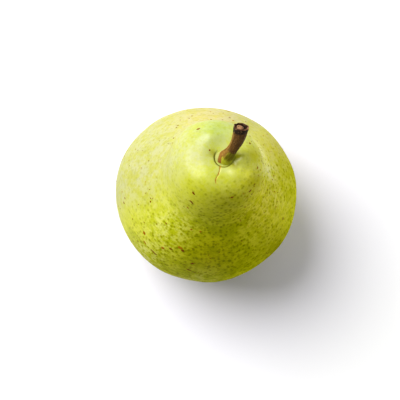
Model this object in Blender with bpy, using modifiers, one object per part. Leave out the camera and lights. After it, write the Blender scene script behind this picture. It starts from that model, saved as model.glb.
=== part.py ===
"""A fresh pear, as picked: the fruit, its woody stem and the dried calyx under it.

Metres, +Z up. The origin is under the middle of the fruit, on the surface that it rests on.
The lower half is upright, and the neck leans towards +Y and a little towards +X.
"""

import math

import bmesh
import bpy
import numpy as np
from mathutils import Vector

MM = 0.001

# Driving dimensions, in millimetres.
REST_HEIGHT = 0.0  # the fruit is flattened below this height, where it rests
FIT_GAP = 0.3  # clearance between pieces that touch

# Control points (radius, height) of the cubic B-spline outline, from the basin under the
# fruit, round the body and up the neck, to the floor of the hollow that holds the stem.
OUTLINE = (
    (0.0, 7.6), (5.0, 7.2), (10.0, 2.6), (14.5, -1.3), (21.5, 0.1), (29.2, 4.9),
    (34.8, 13.5), (36.8, 25.5), (36.8, 38.0), (32.2, 49.0), (26.4, 57.0), (22.3, 64.0),
    (20.1, 70.0), (18.6, 76.0), (16.4, 82.2), (12.9, 85.9), (8.0, 87.1), (4.3, 84.9),
    (0.0, 84.2),
)

# Control points (x, y) of the cubic B-spline that the fruit's axis follows as it rises.
AXIS_STEP = 14.0
AXIS = (
    (-0.5, -1.4), (-0.5, -1.2), (-0.3, -0.3), (0.7, 1.7),
    (2.5, 4.5), (4.2, 8.2), (5.8, 13.0), (7.4, 18.2),
)

# Cross-section lobes: (waves round the fruit, share of the radius, phase in degrees).
BODY_LOBES = ((2, 0.0200, 15.0), (3, 0.0050, -46.0), (5, 0.0025, -113.0))
BODY_LOBES_END = (40.0, 66.0)  # heights over which the lobes die away up the neck
NECK_OVAL = 0.012  # the neck's cross-section is oval by this share of its radius

# Where one side of the fruit swells or narrows: (height, spread over the height, size, facing
# in degrees round from +X, sharpness of its edges round the fruit).
SWELLINGS = (
    (65.0, 9.0, -2.4, -75.0, 1),  # the waist under the neck
    (48.0, 10.0, 0.9, -130.0, 3),
    (78.0, 8.0, 2.2, 118.0, 4),  # the back of the neck
    (30.0, 22.0, 0.45, 9.0, 60),
    (30.0, 22.0, 0.60, 50.0, 60),
    (30.0, 22.0, 0.40, 75.0, 60),
    (30.0, 22.0, 0.65, -81.0, 50),
    (30.0, 22.0, 0.60, -28.0, 50),
    (30.0, 22.0, 0.20, -130.0, 40),
)

# The rim round the stem rises and falls: (waves, millimetres, phase in degrees).
RIM_WAVES = ((2, 0.45, -80.0), (3, 0.35, 20.0))
RIM_RADIUS = 10.0
RIM_SPREAD = 5.0
RIM_FROM = (66.0, 82.0)

# The stem's centre line (x, y, z) and its radius there.
STEM = (
    ((5.8, 12.4, 80.6), 2.30),
    ((6.5, 13.1, 83.2), 2.85),
    ((7.7, 14.4, 86.0), 2.50),
    ((9.3, 16.2, 88.8), 2.05),
    ((10.9, 18.3, 91.3), 2.05),
    ((12.1, 20.7, 93.6), 2.40),
    ((12.85, 23.3, 95.7), 2.80),
    ((13.35, 25.7, 97.6), 2.95),
)
SOCKET_RADIUS = 3.35  # the pit in the fruit that the stem stands in
SOCKET_DEPTH = 6.5

# The calyx: five dried sepals joined in the middle, curled down and outwards.
SEPALS = 5
CALYX_NOTCH_RADIUS = 2.4  # between two sepals
CALYX_TIP_RADIUS = 6.4
CALYX_FLAT_RADIUS = 1.4  # the middle, before the sepals curl
CALYX_TOP = 5.6
CALYX_DROP = 3.4
CALYX_THICKNESS = 0.6

AROUND = 64  # vertices round the fruit
ALONG = 54  # rings from pole to pole
STEM_BEVEL = 5  # bevel resolution of the stem's round section
CALYX_RINGS = 6
CALYX_SIDES = SEPALS * 8


def clear_scene():
    """Empty the scene without closing the file."""
    for old in list(bpy.data.objects):
        bpy.data.objects.remove(old, do_unlink=True)


def collection(name):
    """A new collection under the scene's own."""
    made = bpy.data.collections.new(name)
    bpy.context.scene.collection.children.link(made)
    return made


def material(name, colour, roughness):
    """A plain Principled material."""
    made = bpy.data.materials.new(name)
    made.use_nodes = True
    shader = made.node_tree.nodes["Principled BSDF"]
    shader.inputs["Base Color"].default_value = (*colour, 1.0)
    shader.inputs["Roughness"].default_value = roughness
    shader.inputs["Metallic"].default_value = 0.0
    made.diffuse_color = (*colour, 1.0)
    return made


def add_object(mesh, name, into, look):
    """Put a mesh in the scene as a named object with one material."""
    made = bpy.data.objects.new(name, mesh)
    into.objects.link(made)
    mesh.materials.append(look)
    return made


def smoothstep(value, low, high):
    """0 below low, 1 above high, and an S-curve between them."""
    share = np.clip((value - low) / (high - low), 0.0, 1.0)
    return share * share * (3.0 - 2.0 * share)


def b_spline(points, place):
    """Uniform cubic B-spline through its own end points; place runs 0 to len(points) - 1."""
    points = np.asarray(points, float)
    first = 2.0 * points[0] - points[1]
    last = 2.0 * points[-1] - points[-2]
    padded = np.vstack([first, points, last])
    place = np.clip(place, 0.0, len(points) - 1.0)
    span = np.minimum(place.astype(int), len(points) - 2)
    f = (place - span)[..., None]
    return (
        (1 - f) ** 3 * padded[span]
        + (3 * f**3 - 6 * f**2 + 4) * padded[span + 1]
        + (-3 * f**3 + 3 * f**2 + 3 * f + 1) * padded[span + 2]
        + f**3 * padded[span + 3]
    ) / 6.0


def waves(around, lobes):
    """Sum of cosines round the fruit."""
    total = np.zeros_like(around)
    for count, size, phase in lobes:
        total = total + size * np.cos(count * around + math.radians(phase))
    return total


def axis_frame(height):
    """Centre of the fruit's axis at a height, and its direction there."""
    place = height / AXIS_STEP
    step = 0.01
    centre = b_spline(AXIS, place)
    ahead = b_spline(AXIS, place + step)
    behind = b_spline(AXIS, place - step)
    slope = (ahead - behind) / (2.0 * step * AXIS_STEP)
    direction = np.concatenate([slope, np.ones_like(slope[..., :1])], axis=-1)
    direction /= np.linalg.norm(direction, axis=-1, keepdims=True)
    return centre, direction


def fruit_surface(along, around):
    """Point of the skin. along runs 0 to 1 over the outline, around is the angle about the axis.

    The outline gives a radius and a height. Lobes widen the radius, swellings widen or narrow
    one side, waves lift the rim round the stem, and the ring is set square to the bent axis at
    that height.
    """
    ring = b_spline(OUTLINE, along * (len(OUTLINE) - 1.0))
    radius = np.maximum(ring[..., 0], 0.0)
    height = ring[..., 1]
    low_part = 1.0 - smoothstep(height, *BODY_LOBES_END)
    oval = NECK_OVAL * (1.0 - low_part) * np.cos(2.0 * around)
    radius = radius * (1.0 + low_part * waves(around, BODY_LOBES) + oval)
    for level, spread, size, facing, sharpness in SWELLINGS:
        side = 0.5 + 0.5 * np.cos(around - math.radians(facing))
        radius = radius + size * np.exp(-(((height - level) / spread) ** 2)) * side**sharpness
    rim = np.exp(-(((radius - RIM_RADIUS) / RIM_SPREAD) ** 2)) * np.minimum(radius / 4.0, 1.0)
    height = height + smoothstep(height, *RIM_FROM) * rim * waves(around, RIM_WAVES)
    centre, direction = axis_frame(height)
    across = np.stack([np.cos(around), np.sin(around), np.zeros_like(around)], axis=-1)
    lean = (across * direction).sum(axis=-1, keepdims=True)
    turned = across - lean / (1.0 + direction[..., 2:3]) * (direction + (0.0, 0.0, 1.0))
    point = np.concatenate([centre, height[..., None]], axis=-1)
    point = point + radius[..., None] * turned
    point[..., 2] = np.maximum(point[..., 2], REST_HEIGHT)
    return point * MM


def make_fruit(into, look):
    """A UV sphere whose vertices are moved onto the fruit's surface."""
    shape = bmesh.new()
    bmesh.ops.create_uvsphere(shape, u_segments=AROUND, v_segments=ALONG, radius=1.0)
    at = np.array([vertex.co for vertex in shape.verts])
    along = np.arccos(np.clip(-at[:, 2], -1.0, 1.0)) / math.pi
    around = np.arctan2(at[:, 1], at[:, 0])
    for vertex, place in zip(shape.verts, fruit_surface(along, around)):
        vertex.co = place
    mesh = bpy.data.meshes.new("pear_body")
    shape.to_mesh(mesh)
    shape.free()
    mesh.shade_smooth()
    return add_object(mesh, "pear_body", into, look)


def stem_frame():
    """Foot of the stem, in metres, and the direction in which it starts."""
    foot = Vector(STEM[0][0]) * MM
    return foot, (Vector(STEM[1][0]) * MM - foot).normalized()


def cut_socket(fruit, into):
    """Sink a round pit along the stem's first stretch."""
    foot, direction = stem_frame()
    bottom = foot - direction * (FIT_GAP * MM)
    cutter_shape = bmesh.new()
    bmesh.ops.create_cone(
        cutter_shape,
        cap_ends=True,
        segments=40,
        radius1=SOCKET_RADIUS * MM,
        radius2=SOCKET_RADIUS * MM,
        depth=SOCKET_DEPTH * MM,
    )
    mesh = bpy.data.meshes.new("socket_cutter")
    cutter_shape.to_mesh(mesh)
    cutter_shape.free()
    cutter = bpy.data.objects.new("socket_cutter", mesh)
    into.objects.link(cutter)
    cutter.location = bottom + direction * (SOCKET_DEPTH * MM / 2.0)
    cutter.rotation_mode = "QUATERNION"
    cutter.rotation_quaternion = direction.to_track_quat("Z", "Y")
    cutter.hide_render = True
    cutter.display_type = "WIRE"
    cut = fruit.modifiers.new("socket", "BOOLEAN")
    cut.operation = "DIFFERENCE"
    cut.solver = "EXACT"
    cut.object = cutter


def make_stem(into, look):
    """A round bevel along the centre line, thicker at its foot and at its broken end."""
    curve = bpy.data.curves.new("stem", "CURVE")
    curve.dimensions = "3D"
    curve.bevel_depth = MM
    curve.bevel_resolution = STEM_BEVEL
    curve.use_fill_caps = True
    centre = np.array([place for place, _ in STEM])
    radii = np.array([[radius] for _, radius in STEM])
    rings = 4 * (len(STEM) - 1) + 1
    place = np.linspace(0.0, len(STEM) - 1.0, rings)
    path = b_spline(centre, place) * MM
    widths = b_spline(radii, place)[:, 0]
    spline = curve.splines.new("POLY")
    spline.points.add(rings - 1)
    for point, co, width in zip(spline.points, path, widths):
        point.co = (*co, 1.0)
        point.radius = width
    spline.use_smooth = True
    made = bpy.data.objects.new("stem", curve)
    into.objects.link(made)
    curve.materials.append(look)
    return made


def make_calyx(into, look):
    """An open cone laid out flat as a star whose arms curl down, then given a thickness."""
    shape = bmesh.new()
    bmesh.ops.create_cone(
        shape, cap_ends=False, segments=CALYX_SIDES, radius1=1.0, radius2=0.02, depth=1.0
    )
    upright = [edge for edge in shape.edges if abs(edge.verts[0].co.z - edge.verts[1].co.z) > 0.5]
    bmesh.ops.subdivide_edges(shape, edges=upright, cuts=CALYX_RINGS - 1)
    bmesh.ops.contextual_create(shape, geom=[vertex for vertex in shape.verts if vertex.co.z > 0.49])
    hub = Vector((*AXIS[0], CALYX_TOP))
    for vertex in shape.verts:
        share = 0.5 - vertex.co.z
        angle = math.atan2(vertex.co.y, vertex.co.x)
        arm = 0.5 + 0.5 * math.cos(SEPALS * angle)
        radius = share * (CALYX_NOTCH_RADIUS + (CALYX_TIP_RADIUS - CALYX_NOTCH_RADIUS) * arm)
        past_flat = max(radius - CALYX_FLAT_RADIUS, 0.0) / (CALYX_TIP_RADIUS - CALYX_FLAT_RADIUS)
        across = Vector((radius * math.cos(angle), radius * math.sin(angle), 0.0))
        vertex.co = (hub + across - Vector((0.0, 0.0, CALYX_DROP * past_flat))) * MM
    bmesh.ops.recalc_face_normals(shape, faces=shape.faces)
    mesh = bpy.data.meshes.new("calyx")
    shape.to_mesh(mesh)
    shape.free()
    mesh.shade_smooth()
    made = add_object(mesh, "calyx", into, look)
    wall = made.modifiers.new("thickness", "SOLIDIFY")
    wall.thickness = CALYX_THICKNESS * MM
    wall.offset = 0.0
    wall.use_rim = True
    return made


def main():
    clear_scene()
    parts = collection("pear")
    cutters = collection("pear_cutters")
    skin = material("pear_skin", (0.62, 0.60, 0.10), 0.42)
    wood = material("stem_wood", (0.13, 0.07, 0.03), 0.75)
    husk = material("dried_sepal", (0.10, 0.06, 0.04), 0.85)
    fruit = make_fruit(parts, skin)
    cut_socket(fruit, cutters)
    make_stem(parts, wood)
    make_calyx(parts, husk)


main()
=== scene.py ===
"""A fresh pear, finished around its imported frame: the skin, its russet flecks, the stem and the calyx.

Every piece is a surface worked out with numpy in metres, +Z up, and rides on the frame's one body.
"""

import math

import bpy
import numpy as np
from bpy.props import FloatProperty, FloatVectorProperty, IntProperty, PointerProperty
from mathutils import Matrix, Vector


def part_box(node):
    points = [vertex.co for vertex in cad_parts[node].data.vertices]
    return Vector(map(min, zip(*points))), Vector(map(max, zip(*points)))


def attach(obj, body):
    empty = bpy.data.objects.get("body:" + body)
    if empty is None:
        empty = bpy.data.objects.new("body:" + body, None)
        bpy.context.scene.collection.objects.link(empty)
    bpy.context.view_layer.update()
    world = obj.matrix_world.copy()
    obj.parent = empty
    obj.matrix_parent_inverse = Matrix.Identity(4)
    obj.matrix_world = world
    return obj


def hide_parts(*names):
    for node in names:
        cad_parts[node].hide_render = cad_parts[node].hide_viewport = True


bl_info = {
    "name": "Fresh Pear",
    "version": (1, 0, 0),
    "blender": (4, 5, 0),
    "location": "3D View > Sidebar > Pear",
    "description": "Builds a pear's skin, flecks, stem and calyx, and the stage that it stands on",
    "category": "Add Mesh",
}

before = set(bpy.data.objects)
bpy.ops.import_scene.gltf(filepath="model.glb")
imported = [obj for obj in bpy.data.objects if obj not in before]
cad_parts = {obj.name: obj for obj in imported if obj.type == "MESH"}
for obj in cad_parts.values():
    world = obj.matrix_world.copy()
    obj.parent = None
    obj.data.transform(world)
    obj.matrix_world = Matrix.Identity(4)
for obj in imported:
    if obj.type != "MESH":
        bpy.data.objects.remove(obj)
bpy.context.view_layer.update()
FRUIT_LOW, FRUIT_HIGH = (np.array(corner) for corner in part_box("pear_body"))
CALYX_LOW, CALYX_HIGH = (np.array(corner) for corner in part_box("calyx"))

MM = 0.001
TURN = 2.0 * math.pi

# The fruit's outline and axis are the frame's, with a shallower hollow, in millimetres: control
# points (radius, height) of a cubic B-spline from the basin under the fruit, up and over into
# the hollow that holds the stem, and control points (x, y) of the axis, one every AXIS_STEP.
OUTLINE = (
    (0.0, 7.6), (5.0, 7.2), (10.0, 2.6), (14.5, -1.3), (21.5, 0.1), (29.2, 4.9),
    (34.8, 13.5), (36.8, 25.5), (36.8, 38.0), (32.2, 49.0), (26.4, 57.0), (22.3, 64.0),
    (20.1, 70.0), (18.6, 76.0), (16.4, 82.2), (12.9, 85.9), (8.0, 86.8), (4.3, 86.3),
    (0.0, 86.0),
)
AXIS_STEP = 14.0
AXIS = (
    (-0.5, -1.4), (-0.5, -1.2), (-0.3, -0.3), (0.7, 1.7),
    (2.5, 4.5), (4.2, 8.2), (5.8, 13.0), (7.4, 18.2),
)
# Lobes of the cross-section: (waves round the fruit, share of the radius, phase in degrees), and
# the heights between which they fade out. The neck is a slight oval.
BODY_LOBES = ((2, 0.0200, 15.0), (3, 0.0050, -46.0), (5, 0.0025, -113.0))
BODY_LOBES_END = (40.0, 66.0)
NECK_OVAL = 0.012
# Where one side of the fruit swells or narrows: (height, spread, size, facing in degrees,
# sharpness of its edges round the fruit).
SWELLINGS = (
    (65.0, 9.0, -2.4, -75.0, 1),
    (48.0, 10.0, 0.9, -130.0, 3),
    (78.0, 8.0, 2.2, 118.0, 4),
    (30.0, 22.0, 0.45, 9.0, 60),
    (30.0, 22.0, 0.60, 50.0, 60),
    (30.0, 22.0, 0.40, 75.0, 60),
    (30.0, 22.0, 0.65, -81.0, 50),
    (30.0, 22.0, 0.60, -28.0, 50),
    (30.0, 22.0, 0.20, -130.0, 40),
)
# Waves that lift the rim round the stem: (waves, lift, phase in degrees), where the rim lies, and
# the heights between which they set in.
RIM_WAVES = ((2, 0.45, -80.0), (3, 0.35, 20.0))
RIM_RADIUS = 10.0
RIM_SPREAD = 5.0
RIM_FROM = (66.0, 82.0)
SKIN_INSET = 0.14  # how far the skin's middle level lies inside the smooth form

# Rises and dips in the flesh round the stem: (x, y, height, spread), in millimetres.
SHOULDERS = (
    (15.0, 14.6, 1.30, 3.5),
    (11.5, 7.4, 1.20, 3.4),
    (7.5, 11.0, 0.60, 2.6),
    (2.0, 25.5, 0.70, 3.8),
    (3.2, 15.8, -0.60, 1.6),
    (-3.5, 10.5, -0.45, 3.5),
    (10.3, 12.0, -0.60, 1.3),
    (12.3, 10.3, -0.70, 1.6),
    (14.8, 8.8, -0.60, 2.0),
)
SHOULDERS_FROM = (74.0, 80.0)
# Arcs in the skin, seen from above: centre (x, y), radius, width, height, and facing in degrees.
CREASE = ((6.9, 14.2), 3.40, 0.60, -0.95, -125.0)  # where the skin meets the stem
# The crease's upper edge is painted shade only: a thin dark line, with no lift.
CREASE_EDGE = ((6.9, 14.2), 3.72, 0.24, 0.0, -125.0)  # its upper edge, which is only dark
RIDGE = ((6.0, 15.5), 7.4, 2.2, 0.30, 140.0)  # the rim of the hollow beside the stem

# A pale line of painted highlight where the neck folds into the shoulder: (x, y) in millimetres.
FOLD = ((16.7, 23.4), (20.7, 19.7), (23.2, 15.0), (24.2, 11.5), (25.7, 7.3))
FOLD_WIDTH = 1.3
FOLD_STRENGTH = 0.8

# Zones of colour seen from above, in millimetres, each laid over those before it: (colour,
# strength, x, y, spread, stretch along x, stretch along y, part of the fruit).
# Several zones below are painted shade, painted light or painted sheen, as marked.
SKIN_ZONES = (
    ("cheek", 1.0, -15.5, -12.0, 9.0, 1.1, 1.1, "all"),
    ("gold", 0.9, 22.5, -1.0, 11.0, 1.0, 1.5, "all"),
    # Partly painted shade: deeper olive skin low in front, away from the main light.
    ("deep", 1.0, 3.5, -24.0, 11.0, 1.3, 1.0, "all"),
    # Painted sheen in the next two spots: pale reflections along the lower-left and bottom edges.
    ("fold", 0.55, -27.0, -27.0, 7.5, 1.0, 1.0, "all"),
    ("fold", 0.4, -8.0, -37.0, 5.0, 2.5, 1.0, "all"),
    ("young", 0.5, -24.0, 1.0, 8.0, 1.0, 1.0, "all"),
    # Painted shade: olive darkening on the hollow side of the waist, under the neck.
    ("valley", 0.8, 9.0, -2.0, 8.5, 1.0, 1.0, "all"),
    # Painted shade: the widest part low on the right, darkened away from the main light.
    ("limb", 0.9, 34.0, -28.0, 11.0, 1.0, 1.0, "all"),
    ("blush", 0.9, 3.0, 32.0, 7.5, 2.2, 1.0, "body"),
    ("blush", 0.7, 30.0, 20.0, 10.0, 1.0, 1.0, "all"),
    ("neck", 0.9, 5.0, 17.0, 16.0, 1.0, 1.0, "neck"),
    ("young", 0.6, -3.5, 14.0, 5.0, 1.0, 1.0, "neck"),
    # Painted light in the next two spots: the shoulder right of the neck, made paler.
    ("fold", 0.75, 24.5, 9.5, 3.8, 1.0, 1.0, "all"),
    ("fold", 0.22, 28.0, 4.0, 8.0, 1.0, 1.4, "all"),
    # Painted shade in the next two spots: the skin between the neck and the shoulder, darkened.
    ("valley", 0.7, 18.5, 15.5, 3.0, 1.0, 1.0, "all"),
    ("valley", 0.45, 32.0, 10.0, 6.0, 1.0, 1.5, "all"),
    # Painted light: bright ripe skin over the stem's cast shadow right of its foot.
    ("ripe", 0.9, 12.3, 14.6, 1.8, 1.0, 1.0, "neck"),
    # Painted shade where the neck falls into the shoulder on the right.
    ("valley", 0.7, 19.0, 5.0, 4.0, 1.0, 1.0, "all"),
    ("back", 0.8, 4.0, 26.0, 4.5, 1.6, 1.0, "neck"),
)

# Where the wax on the crown is thickest: (x, y, spread, thickness).
WAX_PATCHES = (
    (14.0, 13.0, 3.2, 0.60), (8.4, 8.9, 2.6, 0.90), (-3.5, 17.5, 3.0, 0.22),
    (-2.0, 21.5, 2.4, 0.25), (1.1, 22.6, 2.6, 0.35), (7.0, 19.8, 2.4, 0.70),
)

# A healed split in the skin, from the stem's foot down the neck: (x, y) in millimetres.
SPLIT = ((5.5, 10.9), (5.3, 9.4), (4.9, 8.0), (4.1, 6.6), (3.6, 5.3), (3.8, 4.3))
SPLIT_DEPTH = 0.22
SPLIT_WIDTH = 0.30

# Russet flecks seen from above: (x, y, length, width, turn in degrees), in millimetres.
FLECKS = (
    (-24.9, -15.5, 1.1, 0.9, -50), (-24.5, -19.5, 1.2, 0.5, -49), (-21.1, -23.3, 2.3, 0.6, -35),
    (-17.1, -21.6, 1.0, 0.7, -40), (-14.0, -21.8, 1.0, 0.6, -30), (-10.3, -21.3, 1.3, 0.6, -28),
    (-9.2, -22.3, 0.9, 0.7, -20), (-4.9, 0.5, 1.0, 0.6, -45), (-5.5, -3.1, 1.3, 0.7, -45),
    (-7.0, -5.2, 0.8, 0.5, -50), (-22.1, -2.7, 0.5, 0.5, 0), (-33.1, -3.5, 0.8, 0.5, -45),
    (-32.7, -1.7, 0.7, 0.4, -60), (-27.5, -19.0, 0.6, 0.4, -50), (-5.7, -14.0, 0.6, 0.5, 0),
    (-2.3, -14.8, 0.6, 0.5, 20), (-5.3, -27.6, 0.7, 0.6, 0), (-6.9, -30.4, 1.4, 0.5, -35),
    (10.0, -1.1, 0.9, 0.5, 10), (17.2, 1.3, 0.9, 0.5, 40), (15.3, -5.0, 0.7, 0.5, 30),
    (31.3, -9.7, 0.9, 0.5, 80), (9.8, 31.3, 0.6, 0.5, 0), (11.1, 30.1, 0.6, 0.5, 0),
    (1.7, 16.9, 0.5, 0.4, 60), (-3.0, 25.4, 0.9, 0.6, 20), (17.0, 19.9, 0.7, 0.5, 70),
)

# The stem's centre line (x, y, z) and its radii, evenly spaced along it, in millimetres.
STEM_LINE = (
    (5.8, 12.4, 80.6), (6.5, 13.1, 83.2), (7.7, 14.4, 86.0), (9.3, 16.2, 88.8),
    (10.9, 18.3, 91.3), (12.1, 20.7, 93.6), (12.85, 23.3, 95.7), (13.35, 25.7, 97.3),
)
STEM_RADII = (3.30, 3.95, 3.05, 2.08, 2.00, 2.38, 2.78, 2.90)
STEM_LENGTH = 0.0225
STEM_SLENDERNESS = 9.0  # its length in radii, so that noise on it isn't stretched
END_SLANT = 0.0004  # unevenness of the broken end, in metres
END_CRUMBS = 0.00016  # roughness of the broken end and of the bark near it, in metres

# Numbers of rows and columns in the meshes, and the seeds of the random draws.
HOLLOW_SPANS = 4  # spans of the outline, the last ones, that lie in the hollow
BODY_ROWS = 11  # on each of the other spans
HOLLOW_ROWS = 139
SKIN_COLUMNS = 330
FLECK_PLACES = 420
FLECK_RINGS = 7
FLECK_SIDES = 16
BARK_ROWS = 240
BARK_COLUMNS = 150
END_ROWS = 69
SEPAL_ROWS = 60
SEPAL_COLUMNS = 240
STAMEN_ROWS = 22
STAMEN_SIDES = 8
FLECK_SEED = 12
STAMEN_SEED = 4

FLOOR_HALF = 12.0  # half of the floor's width
CAMERA_X = -0.00233
CAMERA_Y = -0.0022
WIDEST_SHARE = 0.36  # height of the fruit's widest girth, as a share of the fruit's height


# ---------------------------------------------------------------- shapes

def smoothstep(value, low, high):
    """0 below low, 1 above high, and an S-curve between them."""
    share = np.clip((value - low) / (high - low), 0.0, 1.0)
    return share * share * (3.0 - 2.0 * share)


def bell(distance, spread):
    """1 at no distance, falling away as a Gaussian."""
    return np.exp(-((distance / spread) ** 2))


def spot(x, y, at_x, at_y, spread):
    """A bell round a place seen from above."""
    return bell(np.hypot(x - at_x, y - at_y), spread)


def full_turn(count):
    """Equally spaced angles once round."""
    return np.linspace(0.0, TURN, count + 1)[:-1]


def blend_colours(share, first, second):
    """One colour to another by a share, on whole arrays."""
    first, second = np.asarray(first), np.asarray(second)
    return first + np.asarray(share)[..., None] * (second - first)


def b_spline(points, place):
    """Uniform cubic B-spline through its own end points; place runs 0 to len(points) - 1."""
    points = np.asarray(points, float)
    if points.ndim == 1:
        points = points[:, None]
    first = 2.0 * points[0] - points[1]
    last = 2.0 * points[-1] - points[-2]
    padded = np.vstack([first, points, last])
    place = np.clip(np.asarray(place, float), 0.0, len(points) - 1.0)
    span = np.minimum(place.astype(int), len(points) - 2)
    f = (place - span)[..., None]
    return (
        (1 - f) ** 3 * padded[span]
        + (3 * f**3 - 6 * f**2 + 4) * padded[span + 1]
        + (-3 * f**3 + 3 * f**2 + 3 * f + 1) * padded[span + 2]
        + f**3 * padded[span + 3]
    ) / 6.0


def waves(around, lobes):
    """Sum of cosines round the fruit: (waves, size, phase in degrees)."""
    total = np.zeros_like(around)
    for count, size, phase in lobes:
        total = total + size * np.cos(count * around + math.radians(phase))
    return total


def value_noise(points, cell, seed):
    """Smooth noise, -1 to 1, over points of any dimension: random values on a lattice with
    cells of the given size, blended across each cell by an S-curve."""
    points = np.asarray(points, float) / cell
    low = np.floor(points).astype(np.int64)
    part = points - low
    part = part * part * (3.0 - 2.0 * part)
    dims = points.shape[-1]
    primes = np.array([73856093, 19349663, 83492791], np.int64)[:dims]
    total = np.zeros(points.shape[:-1])
    for corner in range(2**dims):
        step = np.array([(corner >> axis) & 1 for axis in range(dims)])
        key = ((low + step) * primes).sum(axis=-1) + seed * 2654435761
        key = (key ^ (key >> 13)) * 1274126177
        key = key ^ (key >> 16)
        value = (key & 0xFFFF) / 32767.5 - 1.0
        weight = np.prod(np.where(step == 1, part, 1.0 - part), axis=-1)
        total = total + value * weight
    return total


def line_distance(x, y, line):
    """Distance in plan from points to an open line, and the share of the line's length there."""
    nearest = np.full(np.shape(x), np.inf)
    share = np.zeros(np.shape(x))
    spans = len(line) - 1
    for index, ((ax, ay), (bx, by)) in enumerate(zip(line[:-1], line[1:])):
        length_squared = (bx - ax) ** 2 + (by - ay) ** 2
        along = np.clip(((x - ax) * (bx - ax) + (y - ay) * (by - ay)) / length_squared, 0.0, 1.0)
        distance = np.hypot(x - ax - along * (bx - ax), y - ay - along * (by - ay))
        share = np.where(distance < nearest, (index + along) / spans, share)
        nearest = np.minimum(distance, nearest)
    return nearest, share


def axis_frame(height):
    """Centre of the fruit's axis at a height, and its direction there."""
    place = height / AXIS_STEP
    step = 0.01
    centre = b_spline(AXIS, place)
    slope = (b_spline(AXIS, place + step) - b_spline(AXIS, place - step)) / (2.0 * step * AXIS_STEP)
    direction = np.concatenate([slope, np.ones_like(slope[..., :1])], axis=-1)
    direction /= np.linalg.norm(direction, axis=-1, keepdims=True)
    return centre, direction


def arc_bell(x, y, arc):
    """1 along an arc seen from above, falling away to both sides and past the arc's ends."""
    (middle_x, middle_y), radius, width, _, facing = arc
    away = np.arctan2(y - middle_y, x - middle_x) - math.radians(facing)
    off_arc = np.hypot(x - middle_x, y - middle_y) - radius
    return smoothstep(np.cos(away), -0.4, 0.5) * bell(off_arc, width)


def fruit_form(along, around):
    """Smooth form of the fruit in millimetres, and its growth direction, at along (0 to 1 over
    the outline) and around (the angle about the axis).

    The outline gives a radius and a height. Lobes widen the radius, the waist narrows and the
    body swells on one side, waves lift the rim round the stem, and the ring is set square to the
    bent axis at that height.
    """
    ring = b_spline(OUTLINE, along * (len(OUTLINE) - 1.0))
    radius = np.maximum(ring[..., 0], 0.0)
    height = ring[..., 1]
    low_part = 1.0 - smoothstep(height, *BODY_LOBES_END)
    oval = NECK_OVAL * (1.0 - low_part) * np.cos(2.0 * around)
    radius = radius * (1.0 + low_part * waves(around, BODY_LOBES) + oval)
    for level, spread, size, facing, sharpness in SWELLINGS:
        side = 0.5 + 0.5 * np.cos(around - math.radians(facing))
        radius = radius + size * bell(height - level, spread) * side**sharpness
    rim = bell(radius - RIM_RADIUS, RIM_SPREAD) * np.minimum(radius / 4.0, 1.0)
    height = height + smoothstep(height, *RIM_FROM) * rim * waves(around, RIM_WAVES)
    centre, direction = axis_frame(height)
    across = np.stack([np.cos(around), np.sin(around), np.zeros_like(around)], axis=-1)
    lean = (across * direction).sum(axis=-1, keepdims=True)
    turned = across - lean / (1.0 + direction[..., 2:3]) * (direction + (0.0, 0.0, 1.0))
    point = np.concatenate([centre, height[..., None]], axis=-1) + radius[..., None] * turned
    return point, direction


def skin_surface(along, around):
    """Point of the skin, in metres: the smooth form, lifted along its growth direction by the
    shoulders, the ridge, the crease and the healed split, moved outward by slow noise, and cut
    flat where the fruit rests."""
    point, direction = fruit_form(along, around)
    x, y, z = point[..., 0], point[..., 1], point[..., 2]
    lift = np.zeros_like(x)
    for place_x, place_y, height, spread in SHOULDERS:
        lift = lift + height * spot(x, y, place_x, place_y, spread)
    gap, _ = line_distance(x, y, SPLIT)
    lift = lift - SPLIT_DEPTH * bell(gap, SPLIT_WIDTH)
    for arc in (CREASE, RIDGE):
        lift = lift + arc[3] * arc_bell(x, y, arc)
    lift = lift * smoothstep(z, *SHOULDERS_FROM)
    uneven = 0.16 * value_noise(point, 9.0, 3) + 0.05 * value_noise(point, 3.6, 4) - SKIN_INSET
    middle = axis_frame(z)[0]
    outward = np.stack([x - middle[..., 0], y - middle[..., 1], np.zeros_like(x)], axis=-1)
    outward /= np.maximum(np.linalg.norm(outward, axis=-1, keepdims=True), 1.0)
    point = point + direction * lift[..., None] + outward * uneven[..., None]
    point[..., 2] = np.maximum(point[..., 2], 0.0)
    return point * MM


def stem_path(share):
    """Centre of the stem in metres at a share of its length, and a frame across it: the stem's
    direction, the side that stays level, and the side that faces up and back."""
    place = np.asarray(share) * (len(STEM_LINE) - 1.0)
    centre = b_spline(STEM_LINE, place)
    ahead = b_spline(STEM_LINE, place + 0.02) - b_spline(STEM_LINE, place - 0.02)
    direction = ahead / np.linalg.norm(ahead, axis=-1, keepdims=True)
    side = np.cross(direction, (0.0, 0.0, 1.0))
    side /= np.linalg.norm(side, axis=-1, keepdims=True)
    return centre * MM, direction, side, np.cross(side, direction)


def end_plane(places, around):
    """Places on the broken end, in radii: to the right and to the near side, from its rim (0) to
    its middle (1)."""
    here = 1.0 - np.asarray(places)[:, None]
    return here * np.cos(around)[None, :], here * np.sin(around)[None, :]


def end_parts(across, up):
    """Where the pith stands in the broken end, and where the gap behind it is deepest."""
    ragged = 0.10 * value_noise(np.stack([across, up], axis=-1), 0.35, 14)
    from_pith = np.hypot(across + 0.16, up - 0.14) + ragged
    core = 1.0 - smoothstep(from_pith, 0.44, 0.56)
    behind = smoothstep(-up - 0.55 * across, -0.25, 0.25)
    inside_rim = 1.0 - smoothstep(np.hypot(across, up) + ragged, 0.78, 0.90)
    gap = smoothstep(from_pith, 0.50, 0.60) * inside_rim
    return core, gap * (0.25 + 0.75 * behind)


def grid_faces(rows, columns):
    """Quads of a grid stored row by row and joined round its columns."""
    row = np.arange(rows - 1)[:, None] * columns
    column = np.arange(columns)[None, :]
    after = (column + 1) % columns
    corners = (row + column, row + after, row + columns + after, row + columns + column)
    return np.stack(corners, axis=-1).reshape(-1, 4)


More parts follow.
